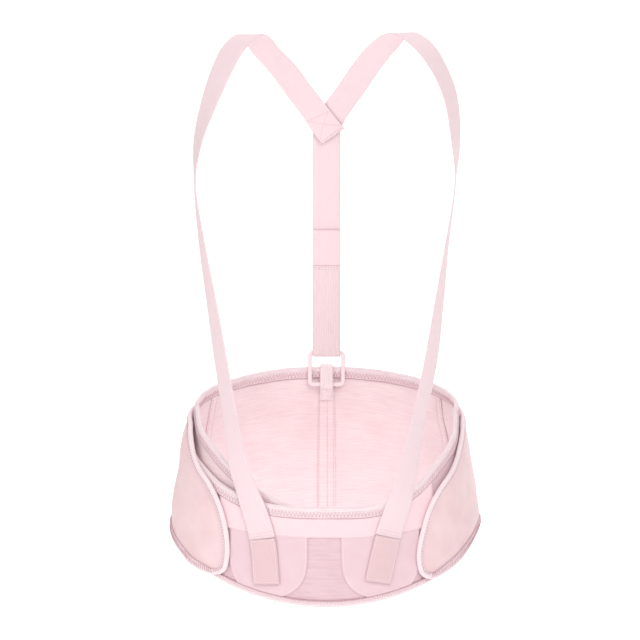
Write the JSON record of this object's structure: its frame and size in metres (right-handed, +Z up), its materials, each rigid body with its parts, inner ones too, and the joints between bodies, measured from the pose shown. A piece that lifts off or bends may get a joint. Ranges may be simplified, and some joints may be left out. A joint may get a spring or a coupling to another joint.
{
  "type": "maternity support belt",
  "caption": "Wrap-round cloth belly belt with a curved front band, rounded side wings, and webbing shoulder straps that meet in a Y and join the back through a ring.",
  "frame": {"origin": "on the wearer's body axis, at the level where the belt sits on the waist, 95 mm above the lowest level of the front hem's base line", "axes": "+Z up along the wearer's body, +Y towards the wearer's back, +X towards the viewer's right seen from the front"},
  "size_m": [0.3329, 0.2604, 0.602],
  "materials": {
    "knit": "fine horizontal rib knit, matt pale pink",
    "front_knit": "slightly darker elastic knit, matt",
    "binding": "folded elastic tape with zigzag stitching",
    "loop_cloth": "smooth brushed loop cloth, pale pink",
    "wing_cloth": "smooth bonded cloth, pale pink",
    "webbing": "flat woven elastic webbing, pale pink",
    "grip_tape": "hook tape and folded webbing end, matt",
    "ring_plastic": "satin moulded pink plastic"
  },
  "bodies": {
    "root": {"back_panel": "knit", "back_rim_binding": "binding", "centre_stay_channel": "knit", "left_stay_channel": "knit", "right_stay_channel": "knit", "left_end_band": "knit", "left_end_binding": "binding", "front_band": "front_knit", "front_rim_binding": "binding", "front_hem_binding": "binding", "front_yoke": "loop_cloth", "left_grip_patch": "loop_cloth", "right_grip_patch": "loop_cloth", "left_wing": "wing_cloth", "left_wing_binding": "binding", "right_wing": "wing_cloth", "right_wing_binding": "binding", "left_shoulder_strap": "webbing", "left_strap_tab": "grip_tape", "right_shoulder_strap": "webbing", "right_strap_tab": "grip_tape", "centre_back_strap": "webbing", "back_strap_tab": "grip_tape", "slide_ring": "ring_plastic", "ring_tab": "webbing"}
  },
  "joints": []
}
